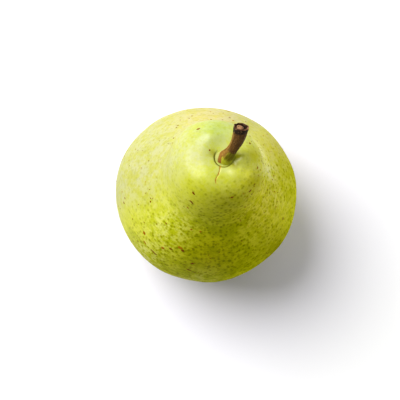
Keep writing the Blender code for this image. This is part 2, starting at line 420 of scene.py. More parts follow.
def closed_grid(points):
    """Vertices and faces of a grid of rings whose first and last rings are single points."""
    rows, columns = points.shape[:2]
    inner = points[1:-1].reshape(-1, 3)
    vertices = np.vstack([inner, points[0, :1], points[-1, :1]])
    quads = grid_faces(rows - 2, columns)
    column = np.arange(columns)
    after = (column + 1) % columns
    top = (rows - 3) * columns
    first = np.stack([np.full(columns, len(inner)), after, column], axis=-1)
    last = np.stack([np.full(columns, len(inner) + 1), top + column, top + after], axis=-1)
    return vertices, quads, np.vstack([first, last])


def ring_values(values):
    """A value for each vertex of closed_grid, from an array with one value for each grid place."""
    tail = values.shape[2:]
    return np.concatenate([values[1:-1].reshape(-1, *tail), values[0, :1], values[-1, :1]])


def new_mesh(name, vertices, quads, triangles):
    """A smooth mesh from arrays, put in with foreach_set."""
    mesh = bpy.data.meshes.new(name)
    loops = np.concatenate([quads.reshape(-1), triangles.reshape(-1)]).astype(np.int32)
    sizes = np.concatenate([np.full(len(quads), 4), np.full(len(triangles), 3)])
    starts = np.concatenate([[0], np.cumsum(sizes)[:-1]]).astype(np.int32)
    mesh.vertices.add(len(vertices))
    mesh.vertices.foreach_set("co", vertices.astype(np.float32).reshape(-1))
    mesh.loops.add(len(loops))
    mesh.loops.foreach_set("vertex_index", loops)
    mesh.polygons.add(len(sizes))
    mesh.polygons.foreach_set("loop_start", starts)
    mesh.update(calc_edges=True)
    mesh.validate()
    mesh.shade_smooth()
    return mesh


def add_numbers(mesh, name, values):
    """Store one number, vector or colour for each vertex."""
    values = np.asarray(values, np.float32)
    if values.ndim == 1:
        mesh.attributes.new(name, "FLOAT", "POINT").data.foreach_set("value", values)
    elif values.shape[1] == 3:
        layer = mesh.attributes.new(name, "FLOAT_VECTOR", "POINT")
        layer.data.foreach_set("vector", values.reshape(-1))
    else:
        layer = mesh.attributes.new(name, "FLOAT_COLOR", "POINT")
        layer.data.foreach_set("color", values.reshape(-1))


def add_tone(mesh, colours):
    """Store a colour for each vertex, as the attribute that the materials read first."""
    add_numbers(mesh, "tone", np.hstack([colours, np.ones((len(colours), 1))]))


def joined_mesh(name, tubes):
    """One mesh of closed grids of one size whose rings run the other way round, and how many
    vertices each has."""
    grids = [closed_grid(tube) for tube in tubes]
    count = len(grids[0][0])
    vertices = np.vstack([grid[0] for grid in grids])
    quads = np.vstack([grid[1][:, ::-1] + index * count for index, grid in enumerate(grids)])
    triangles = np.vstack([grid[2][:, ::-1] + index * count for index, grid in enumerate(grids)])
    return new_mesh(name, vertices, quads, triangles), count


def add_piece(name, mesh, material, node):
    """Put a finished mesh in the scene, on the frame's body, in place of its node."""
    piece = bpy.data.objects.new(name, mesh)
    bpy.context.scene.collection.objects.link(piece)
    mesh.materials.append(material)
    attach(piece, "root")
    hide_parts(node)


# ---------------------------------------------------------------- shader maths

class Wire:
    """A socket of a node graph that takes part in arithmetic: each operator adds a Math node."""

    def __init__(self, graph, socket):
        self.graph = graph
        self.socket = socket

    def __add__(self, other):
        return self.graph.maths("ADD", self, other)

    def __radd__(self, other):
        return self.graph.maths("ADD", other, self)

    def __sub__(self, other):
        return self.graph.maths("SUBTRACT", self, other)

    def __rsub__(self, other):
        return self.graph.maths("SUBTRACT", other, self)

    def __mul__(self, other):
        return self.graph.maths("MULTIPLY", self, other)

    def __rmul__(self, other):
        return self.graph.maths("MULTIPLY", other, self)


class Graph:
    """The nodes of a material or of the surroundings, built from expressions."""

    def __init__(self, owner, last="Principled BSDF"):
        owner.use_nodes = True
        self.owner = owner
        self.tree = owner.node_tree
        self.last = self.tree.nodes[last]

    def node(self, kind, settings=None, *values, out=0, **named):
        """Any node: its settings first, such as a Math node's operation, and then its sockets, in
        order or by name (a number as _2)."""
        made = self.tree.nodes.new(kind)
        for key, value in (settings or {}).items():
            setattr(made, key, value)
        pairs = list(enumerate(values))
        pairs += [(int(key[1:]) if key[0] == "_" else key, value) for key, value in named.items()]
        for key, value in pairs:
            if isinstance(value, Wire):
                self.tree.links.new(value.socket, made.inputs[key])
            elif value is not None:
                made.inputs[key].default_value = value
        return Wire(self, made.outputs[out])

    def maths(self, operation, *values):
        return self.node("ShaderNodeMath", {"operation": operation}, *values)

    def attribute(self, name, out=2):
        """A stored number (out 2), vector (1) or colour (0)."""
        return self.node("ShaderNodeAttribute", {"attribute_name": name}, out=out)

    def object_place(self):
        return self.node("ShaderNodeTexCoord", out=3)

    def noise(self, place, scale, detail, roughness):
        """Noise of 0 to 1, with about scale waves to each unit of place."""
        return self.node("ShaderNodeTexNoise", {"noise_dimensions": "3D"}, Vector=place,
                         Scale=scale, Detail=detail, Roughness=roughness)

    def cells(self, place, scale, out=0):
        """Distance from the middle of the nearest of many cells (out 0), or its own colour (1)."""
        return self.node("ShaderNodeTexVoronoi", None, Vector=place, Scale=scale, out=out)

    def step(self, value, low, high, start=0.0, end=1.0):
        """An S-curve from start, where the value is at low or under, to end, at high or over."""
        settings = {"interpolation_type": "SMOOTHSTEP"}
        return self.node("ShaderNodeMapRange", settings, value, low, high, start, end)

    def mix(self, share, first, second, blend="MIX"):
        """Two colours blended."""
        settings = {"data_type": "RGBA", "blend_type": blend}
        return self.node("ShaderNodeMix", settings, _0=share, _6=first, _7=second, out=2)

    def scaled(self, place, factors):
        """A vector with each part multiplied."""
        return self.node("ShaderNodeVectorMath", {"operation": "MULTIPLY"}, place, factors)

    def bump(self, height, depth, strength=1.0, below=None):
        """A Bump node on heights of 0 to 1, depth metres deep."""
        return self.node("ShaderNodeBump", None, Height=height, Distance=depth,
                         Strength=strength, Normal=below)

    def finish(self, fixed, **wires):
        """Set the fixed sockets of the last shader, and link what varies."""
        for name, value in fixed.items():
            self.last.inputs[name].default_value = value
        for name, wire in wires.items():
            self.tree.links.new(wire.socket, self.last.inputs[name.replace("_", " ")])
        return self.owner


def rgba(tint):
    return (*tint, 1.0)


# ---------------------------------------------------------------- materials

def skin_material(look):
    """Waxy skin. Its large colour comes with the mesh. Greener clouds, a pale film that is thin in
    places, faint streaks round the fruit and green dots each multiply it, russet covers it, and
    a film of wax lies over all."""
    graph = Graph(bpy.data.materials.new("pear_skin"))
    place = graph.object_place()
    mottled = graph.attribute("mottled")

    belt = graph.scaled(graph.attribute("belt", out=1), (330.0, 330.0, 1500.0))
    streak = graph.noise(belt, 1.0, 3.0, 0.6)
    cloud = graph.noise(place, 250.0, 4.0, 0.62)
    wide_cloud = graph.noise(place, 85.0, 2.0, 0.5)
    green = graph.step(cloud * 0.55 + wide_cloud * 0.20 + streak * 0.25, 0.45, 0.58)
    shade = graph.attribute("tone", out=0)
    shade = graph.mix(green * mottled * 0.7, shade, rgba(look.cloud_colour), "MULTIPLY")
    film = graph.step(cloud * 0.5 + graph.noise(place, 620.0, 3.0, 0.6) * 0.5, 0.44, 0.58)
    shade = graph.mix(film * 0.9, shade, rgba(look.film_colour), "MULTIPLY")
    streaks = graph.step(streak, 0.50, 0.72) * mottled * 0.6
    shade = graph.mix(streaks, shade, rgba(look.streak_colour), "MULTIPLY")

    density = 1.0 / (look.dot_spacing * 0.7)
    radius = look.dot_size / 2.0 * density
    strength = graph.node("ShaderNodeSeparateColor", None, graph.cells(place, density, out=1))
    dot = graph.step(graph.cells(place, density), radius * 0.20, radius * 1.15, 1.0, 0.0)
    fine_dot = graph.step(graph.cells(place, density * 1.8), 0.08, 0.48, 1.0, 0.0)
    dots = (dot * (strength * 0.6 + 0.4) + fine_dot * 0.35) * graph.attribute("dotted")
    dots = graph.maths("MINIMUM", dots, 1.0)
    shade = graph.mix(dots, shade, rgba(look.dot_colour), "MULTIPLY")

    crust = graph.noise(place, 1500.0, 2.0, 0.6)
    scab = graph.step(graph.attribute("russet") * (0.55 + crust * 0.9), 0.35, 0.75)
    dark_cork = rgba([0.55 * part for part in look.russet_colour])
    shade = graph.mix(scab, shade, graph.mix(crust, rgba(look.russet_colour), dark_cork))

    grain = graph.noise(place, 1400.0, 2.0, 0.5)
    normal = graph.bump(grain, 0.00004, 0.35)
    normal = graph.bump(graph.noise(place, 420.0, 2.0, 0.5), 0.00012, 0.30, normal)
    normal = graph.bump(dots * 0.6 + scab, 0.00008, 0.5, normal)
    fixed = {
        "IOR": 1.45,
        "Specular IOR Level": look.gloss,
        "Subsurface Weight": look.translucency,
        "Subsurface Radius": (1.0, 0.75, 0.12),
        "Subsurface Scale": 0.0022,
        "Coat Roughness": look.wax_roughness,
        "Coat IOR": 1.75,
    }
    return graph.finish(fixed, Base_Color=shade, Normal=normal,
                        Roughness=look.roughness + (grain - 0.5) * 0.12 + scab * 0.25,
                        Coat_Weight=graph.attribute("waxy") * look.wax)


def fleck_material(look):
    """Corky russet, darker on the high parts of its crust."""
    graph = Graph(bpy.data.materials.new("russet"))
    crust = graph.noise(graph.object_place(), 1900.0, 3.0, 0.6)
    tone = graph.attribute("tone", out=0)
    shade = graph.mix(graph.step(crust, 0.35, 0.7), tone, rgba(look.fleck_edge), "MULTIPLY")
    return graph.finish({"Specular IOR Level": 0.03}, Base_Color=shade,
                        Roughness=0.62 + crust * 0.2, Normal=graph.bump(crust, 0.00008, 0.6))


def stem_material(look):
    """Bark whose colour comes with the mesh, with dark furrows and pale flakes along the stem."""
    graph = Graph(bpy.data.materials.new("stem_bark"))
    tone = graph.attribute("tone", out=0)
    woody = graph.attribute("woody")
    grain = graph.attribute("grain", out=1)
    fibre = graph.noise(graph.scaled(grain, (9.0, 9.0, 420.0)), 1.0, 4.0, 0.62)
    flake = graph.noise(graph.scaled(grain, (3.2, 3.2, 900.0)), 1.0, 3.0, 0.6)
    pit = graph.noise(graph.object_place(), 1600.0, 2.0, 0.55)
    ridge = graph.step(fibre * 0.6 + pit * 0.4, 0.40, 0.62)
    furrow = (woody * 0.7 + 0.2) * (1.0 - ridge)
    shade = graph.mix(furrow, tone, rgba(look.furrow_colour), "MULTIPLY")
    lit = graph.step(flake * 0.5 + pit * 0.5, 0.52, 0.66) * woody * 0.5
    shade = graph.mix(lit, shade, rgba(look.bark_light))
    normal = graph.bump(pit, 0.00010, 0.5, graph.bump(fibre, 0.00025, 0.6))
    return graph.finish({"Specular IOR Level": 0.07}, Base_Color=shade, Normal=normal,
                        Roughness=0.42 + woody * 0.22 + (pit - 0.5) * 0.2)


def calyx_material(look):
    """Dry brittle sepal, paler along its ribs, with pale down in places and dark in others."""
    graph = Graph(bpy.data.materials.new("dry_sepal"))
    place = graph.object_place()
    dust = graph.noise(place, 1500.0, 3.0, 0.6)
    wide = graph.noise(place, 500.0, 2.0, 0.5)
    tone = graph.attribute("tone", out=0)
    shade = graph.mix(graph.step(dust, 0.4, 0.7) * 0.6, tone, rgba(look.sepal_dust))
    shade = graph.mix(graph.step(wide, 0.5, 0.7) * 0.5, shade, rgba((0.35, 0.3, 0.25)), "MULTIPLY")
    return graph.finish({"Specular IOR Level": 0.2}, Base_Color=shade,
                        Roughness=0.75 + dust * 0.15, Normal=graph.bump(dust, 0.0002, 0.6))


def floor_material(look):
    """Matt white paper, very slightly uneven in tone, with faint bluish painted shade near the fruit.
    It glows far off, where it meets the white surroundings."""
    graph = Graph(bpy.data.materials.new("white_floor"))
    place = graph.object_place()
    fibre = graph.noise(place, 4.0, 1.0, 0.5)
    away = graph.node("ShaderNodeVectorMath", {"operation": "LENGTH"}, place, out=1)
    # Painted shade near the fruit, bluish to cancel the green light it throws on the floor.
    near = graph.step(away, 0.03, 0.11, 1.0, 0.0)
    far = graph.step(away, 0.3, 1.2)
    shade = graph.mix(fibre, rgba([part * 0.995 for part in look.floor_colour]), rgba(look.floor_colour))
    shade = graph.mix(near, shade, rgba(look.floor_shade_near), "MULTIPLY")
    glow = graph.mix(far, rgba((0.0, 0.0, 0.0)), rgba([look.floor_far] * 3))
    fixed = {"Specular IOR Level": 0.0, "Emission Strength": 1.0}
    return graph.finish(fixed, Base_Color=shade, Roughness=0.9 + fibre * 0.02, Emission_Color=glow)


# ---------------------------------------------------------------- settings

def colour(name, description, default):
    """A colour that a user would change."""
    return FloatVectorProperty(name=name, description=description, default=default,
                               subtype="COLOR", min=0.0, max=1.0)


def length(name, description, default, least=0.0):
    """A length in metres that a user would change."""
    return FloatProperty(name=name, description=description, default=default, min=least, unit="LENGTH")


def factor(name, description, default):
    """A share, 0 to 1, that a user would change."""
    return FloatProperty(name=name, description=description, default=default,
                         min=0.0, max=1.0, subtype="FACTOR")


def amount(name, description, default):
    """A brightness that a user would change."""
    return FloatProperty(name=name, description=description, default=default, min=0.0)


class PEAR_PG_skin(bpy.types.PropertyGroup):
    """Sizes and colours of the skin."""

    dot_spacing: length("Dot spacing", "Typical distance between two green dots", 0.0023, 0.0005)
    dot_size: length("Dot size", "Width of a green dot", 0.0015, 0.0001)
    # Its pale, whitish cast towards the main light is partly painted sheen.
    young_colour: colour(
        "Upper skin", "Pale skin on the side towards the main light", (0.366, 0.362, 0.15))
    ripe_colour: colour(
        "Ripe skin", "Bright yellow-green skin over most of the fruit", (0.505, 0.515, 0.007))
    cheek_colour: colour("Cheek", "Brightest skin, on the cheek of the body", (0.61, 0.62, 0.13))
    gold_colour: colour("Golden skin", "Yellower skin on the right of the neck", (0.68, 0.62, 0.06))
    # Deeper olive, partly painted shade low in front, away from the main light.
    deep_colour: colour("Deep skin", "Deep olive skin low in front", (0.36, 0.350, 0.001))
    neck_colour: colour("Neck", "Fresh green skin round the stem", (0.385, 0.422, 0.115))
    back_colour: colour("Back of the neck", "Greener skin behind the stem", (0.30, 0.37, 0.085))
    blush_colour: colour("Blush", "Faint warm blush on the back of the fruit", (0.435, 0.38, 0.15))
    # Painted highlight and sheen: the pale line along the fold and pale spots on the edges.
    fold_colour: colour("Fold", "Pale waxy fold between the neck and the shoulder", (0.70, 0.69, 0.30))
    film_colour: colour(
        "Thin film", "What the colour is multiplied by where the pale film is thin", (1.0, 1.0, 0.40))
    # Painted shade: olive darkening deep in the hollow round the stem.
    hollow_shade_colour: colour("Hollow", "Olive skin deep in the hollow round the stem", (0.30, 0.28, 0.01))
    # Painted shade: olive skin darkened where the waist and the neck turn away from the light.
    valley_colour: colour("Valley", "Olive skin in the hollow side of the waist", (0.37, 0.355, 0.001))
    # Painted shade: the lower edge away from the main light.
    limb_colour: colour(
        "Lower edge", "Dark skin at the widest part, away from the main light", (0.16, 0.145, 0.001))
    dot_colour: colour("Dots", "What a dot multiplies the skin's colour by", (0.56, 0.57, 0.02))
    cloud_colour: colour(
        "Clouds", "What a greener cloud multiplies the skin's colour by", (0.74, 0.78, 0.12))
    streak_colour: colour(
        "Streaks", "What a fine streak round the fruit multiplies the colour by", (0.85, 0.86, 0.35))
    russet_colour: colour("Russet", "Cork in the healed split and round the calyx", (0.46, 0.26, 0.015))
    roughness: factor("Roughness", "Roughness of the wax", 0.42)
    gloss: factor("Gloss", "How strongly the skin reflects under its wax", 0.0)
    wax: factor("Wax", "How strongly the film of wax reflects where it is thickest", 0.9)
    wax_roughness: factor("Wax roughness", "Roughness of the film of wax", 0.34)
    translucency: factor("Translucency", "Share of the light that scatters in the flesh", 0.12)


class PEAR_PG_flecks(bpy.types.PropertyGroup):
    """Sizes and colours of the russet flecks."""

    scattered: IntProperty(
        name="Scattered flecks", description="Small flecks besides the ones that are placed",
        default=230, min=0)
    size: FloatProperty(
        name="Size", description="All flecks are widened by this",
        default=1.6, min=0.1)
    height: length("Height", "How far a fleck stands out of the skin", 0.00007)
    fleck_colour: colour("Fleck", "Middle of a fleck", (0.19, 0.058, 0.002))
    fleck_orange: colour("Young fleck", "A fleck that is still orange", (0.36, 0.14, 0.004))
    fleck_edge: colour(
        "Crust", "What the crust of a fleck multiplies its colour by", (0.75, 0.70, 0.60))


class PEAR_PG_stem(bpy.types.PropertyGroup):
    """Sizes and colours of the stem."""

    rib_depth: length("Rib depth", "Depth of the furrows along the bark", 0.00010)
    rim_width: FloatProperty(
        name="Rim width", description="Thickness of the bark at the broken end, as a share of its radius",
        default=0.20, min=0.02, max=0.6, subtype="FACTOR")
    rim_height: length("Rim height", "How far the rim of the broken end rolls over", 0.00014)
    pith_depth: length("Pith depth", "How deep the pith has sunk in the broken end", 0.0007)
    bark_dark: colour("Dark bark", "Shaded side of the bark", (0.125, 0.058, 0.012))
    # Painted light: the golden strip on the bark's side towards the light.
    bark_lit_gold: colour("Golden bark", "Thin bark on the side towards the light", (0.29, 0.150, 0.024))
    bark_rust: colour("Rusty bark", "Tongue of bark that runs down onto the foot", (0.25, 0.105, 0.018))
    bark_light: colour("Flakes", "Pale flakes in the bark", (0.22, 0.135, 0.045))
    foot_pale: colour("Pale foot", "Fleshy foot on the side towards the light", (0.40, 0.41, 0.11))
    stalk_olive: colour(
        "Olive stalk", "Green stretch below the bark, on the shaded side", (0.20, 0.18, 0.005))
    foot_green: colour("Green foot", "Fleshy foot on the shaded side", (0.50, 0.52, 0.025))
    char_colour: colour("Dried edge", "Dark dried bark under the broken end", (0.022, 0.012, 0.006))
    rim_colour: colour("Rim", "Red-brown rim of the broken end", (0.15, 0.055, 0.022))
    pith_colour: colour("Pith", "Dry pith in the broken end", (0.38, 0.20, 0.085))
    furrow_colour: colour(
        "Furrows", "What a furrow multiplies the bark's colour by", (0.42, 0.40, 0.42))


class PEAR_PG_calyx(bpy.types.PropertyGroup):
    """Sizes and colours of the calyx."""

    sepals: IntProperty(name="Sepals", description="Number of dried sepals", default=5, min=3)
    stamens: IntProperty(name="Stamens", description="Dry stamens left in the middle", default=18, min=0)
    thickness: length("Thickness", "Thickness of a dried sepal", 0.00028, 0.00005)
    sepal_dark: colour("Sepal", "Dried sepal", (0.070, 0.042, 0.026))
    sepal_pale: colour("Sepal rib", "Rib and base of a dried sepal", (0.20, 0.14, 0.07))
    sepal_dust: colour("Down", "Pale down on the sepals", (0.24, 0.20, 0.14))


class PEAR_PG_stage(bpy.types.PropertyGroup):
    """The floor, the light and the camera."""

    frame_width: length(
        "Frame width", "Width that the camera takes in at the fruit's widest height", 0.1653, 0.01)
    camera_height: length("Camera height", "Height of the camera over the floor", 0.85, 0.2)
    light_azimuth: FloatProperty(
        name="Light azimuth", description="Direction of the main light, from +X towards +Y",
        default=math.radians(138.0), subtype="ANGLE")
    light_elevation: FloatProperty(
        name="Light elevation", description="Height of the main light over the horizon",
        default=math.radians(45.0), subtype="ANGLE")
    light_width: length("Light width", "Diameter of the main light", 1.19, 0.05)
    light_distance: length("Light distance", "Distance of the main light", 1.2, 0.3)
    light_strength: amount("Light strength", "Light that the floor gets from the main light", 1.34)
    fill_right: amount("Fill from the right", "Brightness of the surroundings towards +X", 0.95)
    fill_back: amount("Fill from the back", "Brightness of the surroundings towards +Y", 0.93)
    fill_all: amount("Fill all round", "Brightness of the surroundings everywhere", 0.03)
    floor_colour: colour("Floor", "Colour of the floor", (0.90, 0.90, 0.90))
    floor_far: amount("Far floor", "Glow of the floor far away, where the light doesn't reach", 0.7)
    # Painted shade near the fruit, bluish to cancel the green light it throws on the floor.
    floor_shade_near: colour(
        "Floor near the fruit", "What the floor's colour is multiplied by there", (0.93, 0.91, 1.0))


# ---------------------------------------------------------------- pieces and stage

def skin_rows():
    """Places along the outline, close together in the hollow round the stem."""
    spans = len(OUTLINE) - 1
    body_spans = spans - HOLLOW_SPANS
    body = np.linspace(0.0, body_spans, BODY_ROWS * body_spans + 1)
    hollow = body_spans + HOLLOW_SPANS * np.linspace(0.0, 1.0, HOLLOW_ROWS + 1)[1:]
    return np.concatenate([body, hollow]) / spans


def skin_tone(points, look):
    """Large colour of the skin: young towards the main light, its pale cast partly painted sheen,
    and ripe away from it, then each zone of SKIN_ZONES as a soft spot, olive painted shade deep
    in the hollow, a painted highlight along the fold, and painted shade along the crease's edge."""
    x, y, z = points.T / MM
    neck = smoothstep(z, 64.0, 75.0)
    parts = {"all": 1.0, "neck": neck, "body": 1.0 - neck}
    tone = np.broadcast_to(look.young_colour, points.shape)
    # Partly painted sheen: paler, whiter skin on the side towards the main light.
    tone = blend_colours(smoothstep(0.50 * x - 0.87 * y, -21.0, -3.0), tone, look.ripe_colour)
    for colour_name, strength, at_x, at_y, spread, wide, deep, part in SKIN_ZONES:
        zone = bell(np.hypot((x - at_x) / wide, (y - at_y) / deep), spread)
        tone = blend_colours(strength * parts[part] * zone, tone, getattr(look, colour_name + "_colour"))
    top = smoothstep(z, 78.0, 82.0)
    # Painted shade: olive deep in the hollow, in the groove right of the stem and along the crease.
    crease_shade = arc_bell(x, y, CREASE_EDGE)
    hollow = spot(x, y, 2.6, 15.8, 1.5) + spot(x, y, 11.0, 11.4, 1.6) + crease_shade
    tone = blend_colours(0.7 * np.minimum(hollow, 1.0) * top, tone, look.hollow_shade_colour)
    # Painted highlight along the fold between the neck and the shoulder.
    off_fold, share = line_distance(x, y, FOLD)
    fold = bell(off_fold, FOLD_WIDTH) * bell(share - 0.5, 0.42) * smoothstep(z, 40.0, 50.0)
    tone = blend_colours(FOLD_STRENGTH * fold, tone, look.fold_colour)
    # Painted shade: the skin along the crease's edge darkened.
    return tone * (1.0 - 0.65 * crease_shade * top)[:, None]


def skin_wax(points):
    """How thick the wax is: a thin film towards the main light, rubbed off away from it, a film
    and patches on the crown, and none in the hollow or on the edge of the crease."""
    x, y, z = points.T / MM
    rubbed = smoothstep(0.62 * x - 0.78 * y, -16.0, 6.0)
    crown = 0.20 * (1.0 - smoothstep(np.hypot(x - 5.0, y - 17.5), 7.5, 12.0))
    for patch_x, patch_y, spread, thickness in WAX_PATCHES:
        crown = crown + thickness * spot(x, y, patch_x, patch_y, spread)
    crown = smoothstep(z, 72.0, 82.0) * np.minimum(crown, 1.0)
    hollow = spot(x, y, 3.5, 16.0, 4.0) + 0.5 * spot(x, y, 12.0, 15.2, 1.5)
    open_skin = 1.0 - np.minimum(hollow + arc_bell(x, y, CREASE_EDGE), 1.0)
    film = 0.04 * (1.0 - smoothstep(x, 0.0, 15.0)) + 0.32 * (1.0 - rubbed) * open_skin
    return np.maximum(film, crown * open_skin)


def skin_mottling(points):
    """How strongly clouds and streaks show: most low in front, less on the neck and far right."""
    x, y, z = points.T / MM
    front = smoothstep(0.4 * x - 0.9 * y, -12.0, 14.0)
    neck = smoothstep(z, 70.0, 80.0)
    return (0.40 + 1.30 * front) * (1.0 - 0.60 * neck) * (1.0 - 0.30 * smoothstep(x, 12.0, 26.0))


def skin_dots(points):
    """How strongly the dots show: most low in front, less on the crown and far right."""
    x, y, z = points.T / MM
    front = smoothstep(0.5 * x - 0.86 * y, -16.0, 12.0)
    crown = spot(x, y, 5.0, 11.0, 13.0) * smoothstep(z, 72.0, 80.0)
    return (0.38 + 1.35 * front) * (1.0 - 0.85 * crown) * (1.0 - 0.30 * smoothstep(x, 12.0, 26.0))


class PEAR_OT_skin(bpy.types.Operator):
    """Build the skin: the turned outline on its bent axis, with its hollow, shoulders and split."""

    bl_idname = "pear.skin"
    bl_label = "Skin"

    def execute(self, context):
        look = context.scene.pear_skin
        along, around = np.meshgrid(skin_rows(), full_turn(SKIN_COLUMNS), indexing="ij")
        vertices, quads, triangles = closed_grid(skin_surface(along, around))
        mesh = new_mesh("pear_skin", vertices, quads, triangles)
        add_tone(mesh, skin_tone(vertices, look))
        add_numbers(mesh, "dotted", skin_dots(vertices))
        add_numbers(mesh, "waxy", skin_wax(vertices))
        add_numbers(mesh, "mottled", skin_mottling(vertices))
        x, y, z = vertices.T / MM
        gap, share = line_distance(x, y, SPLIT)
        torn = bell(gap, 0.28 + 0.10 * np.sin(19.0 * share)) * (z > 70.0)
        basin = (1.0 - smoothstep(np.hypot(x - AXIS[0][0], y - AXIS[0][1]), 4.0, 9.5)) * (z < 12.0)
        add_numbers(mesh, "russet", np.clip(torn + 0.6 * basin, 0.0, 1.0))
        height = ring_values(b_spline(OUTLINE, along * (len(OUTLINE) - 1.0))[..., 1])
        add_numbers(mesh, "belt", np.stack([x, y, height], axis=-1) * MM)
        add_piece("pear_skin", mesh, skin_material(look), "pear_body")
        return {"FINISHED"}


def fleck_sites(look, random):
    """Where each fleck lies, along and around the fruit, and its length, width and turn. A placed
    one takes the skin nearest to its place seen from above, and of that the higher. The loose
    ones are drawn from the skin's places, apart from the underside, the crown and the left of
    the neck."""
    rows = np.linspace(0.10, 0.93, FLECK_PLACES)
    along, around = np.meshgrid(rows, np.linspace(0.0, TURN, FLECK_PLACES), indexing="ij")
    along, around = along.reshape(-1), around.reshape(-1)
    x, y, z = skin_surface(along, around).T
    placed = np.array(FLECKS)
    off_place = np.hypot(x[:, None] - placed[:, 0] * MM, y[:, None] - placed[:, 1] * MM)
    off_place = off_place - z[:, None] * 0.01
    underside = z <= 0.018
    off_place[underside] = np.inf
    off_stem = np.hypot(x - STEM_LINE[1][0] * MM, y - STEM_LINE[1][1] * MM) > 0.013
    below_crown = z < 0.070
    below_neck = z < 0.064
    right_side = x > 0.012
    free = (z > 0.004) & (off_stem | below_crown) & (below_neck | right_side)
    loose = random.choice(np.flatnonzero(free), look.scattered)
    site = np.concatenate([off_place.argmin(axis=0), loose])
    lengths = np.concatenate([placed[:, 2], random.uniform(0.22, 0.55, len(loose))])
    widths = np.concatenate([placed[:, 3], random.uniform(0.18, 0.38, len(loose))])
    turns = np.concatenate([np.radians(placed[:, 4]), random.uniform(0.0, math.pi, len(loose))])
    return along[site], around[site], lengths * look.size * MM, widths * look.size * MM, turns


def fleck_surfaces(look, along, around, lengths, widths, turns):
    """Points of every fleck, in metres: an ellipse with a ragged edge, turned in plan, laid on the
    skin by the skin's slopes, domed above it and closed below it."""
    along, around, lengths, widths, turns = (
        values[:, None, None] for values in (along, around, lengths, widths, turns))
    step = 1e-4
    middle = skin_surface(along, around)
    up = (skin_surface(along + step, around) - middle) / step
    side = (skin_surface(along, around + step) - middle) / step
    normal = np.cross(side, up)
    normal /= np.linalg.norm(normal, axis=-1, keepdims=True)
    right = np.array([1.0, 0.0, 0.0]) - normal * normal[..., :1]
    right /= np.linalg.norm(right, axis=-1, keepdims=True)

    share = np.linspace(0.0, 1.0, FLECK_RINGS)[None, :, None]
    angle = full_turn(FLECK_SIDES)[None, None, :]
    of_its_own = 7.3 * np.arange(len(along))[:, None, None]
    edge = np.stack(np.broadcast_arrays(1.4 * np.cos(angle) + of_its_own, 1.4 * np.sin(angle)), axis=-1)
    reach = np.sin(share * math.pi) * (1.0 + 0.28 * value_noise(edge, 0.8, 5)) / 2.0
    flat_x = reach * np.cos(angle) * lengths
    flat_y = reach * np.sin(angle) * widths
    plan_x = flat_x * np.cos(turns) - flat_y * np.sin(turns)
    plan_y = flat_x * np.sin(turns) + flat_y * np.cos(turns)
    shift = plan_x[..., None] * right + plan_y[..., None] * np.cross(normal, right)
    surface = skin_surface(along + (shift * up).sum(-1) / (up * up).sum(-1),
                           around + (shift * side).sum(-1) / (side * side).sum(-1))
    rise = (np.cos(share * math.pi) + 0.4) * look.height
    return surface + normal * rise[..., None]


class PEAR_OT_flecks(bpy.types.Operator):
    """Lay russet flecks on the skin: low lens shapes with a ragged edge."""

    bl_idname = "pear.flecks"
    bl_label = "Russet flecks"

    def execute(self, context):
        look = context.scene.pear_flecks
        random = np.random.default_rng(FLECK_SEED)
        surfaces = fleck_surfaces(look, *fleck_sites(look, random))
        mesh, count = joined_mesh("russet_flecks", surfaces)
        orange = np.concatenate([[1.0], random.random(len(surfaces) - 1) < 0.3])
        tone = blend_colours(orange, look.fleck_colour, look.fleck_orange)
        add_tone(mesh, np.repeat(tone, count, axis=0))
        add_piece("russet_flecks", mesh, fleck_material(look), "pear_body")
        return {"FINISHED"}


def bark_surface(look, share, angle, ring):
    """The bark, in metres: rings of the stem's radius, ribbed and knotted where it is woody and
    frayed at the end, on its bent line, with the last rings pushed along it by the uneven end.
    Also gives how woody it is, the unevenness, and the frame at its end."""
    woody = smoothstep(share, 0.22, 0.45)
    ribs = np.sin(angle * 9.0 + 1.5 * value_noise(ring, 1.1, 7)) * 0.5
    ribs = ribs + value_noise(ring * (2.2, 2.2, 0.5), 0.5, 8)
    knots = value_noise(ring * (1.0, 1.0, 0.45), 1.1, 9)
    radius = b_spline(STEM_RADII, share * (len(STEM_RADII) - 1.0))[..., 0] * MM
    radius = (radius + look.rib_depth * woody * ribs) * (1.0 + 0.035 * knots * woody)
    radius = radius + END_CRUMBS * smoothstep(share, 0.90, 0.97) * value_noise(ring, 0.45, 10)
    centre, direction, side, upper = stem_path(share)
    slant = END_SLANT * value_noise(ring[-1] * (1.0, 1.0, 0.0), 0.7, 11)
    across = np.cos(angle)[..., None] * side + np.sin(angle)[..., None] * upper
    pushed = (smoothstep(share, 0.85, 1.0) * slant)[..., None] * direction
    end_frame = centre[-1], direction[-1], side[-1], upper[-1], radius[-1]
    return centre + across * radius[..., None] + pushed, woody, slant, end_frame


def end_surface(look, inward, around, slant, end_frame):
    """The broken end, in metres, from its rim to its middle: a rolled rim, then lower, deepest in
    the gap and higher on the pith, and crumbled."""
    centre, direction, side, upper, radius = end_frame
    across, up = end_plane(inward, around)
    core, gap = end_parts(across, up)
    flat = np.stack([across, up], axis=-1)
    crumbs = value_noise(flat, 0.20, 12) + 0.6 * value_noise(flat, 0.09, 13)
    edge = inward[:, None]
    level = look.rim_height * np.sin(np.clip(edge / look.rim_width, 0.0, 1.0) * math.pi)
    level = level - look.pith_depth * smoothstep(edge, look.rim_width * 0.8, look.rim_width * 1.6)
    level = level + look.pith_depth * (0.8 * core - 1.3 * gap)
    level = level + END_CRUMBS * crumbs * smoothstep(edge, 0.1, 0.3)
    level = level + slant * (1.0 - smoothstep(edge, 0.0, 0.6))
    surface = centre + (across * radius)[..., None] * side + (up * radius)[..., None] * upper
    surface = surface + level[..., None] * direction
    surface[-1] = surface[-1].mean(axis=0)
    return surface


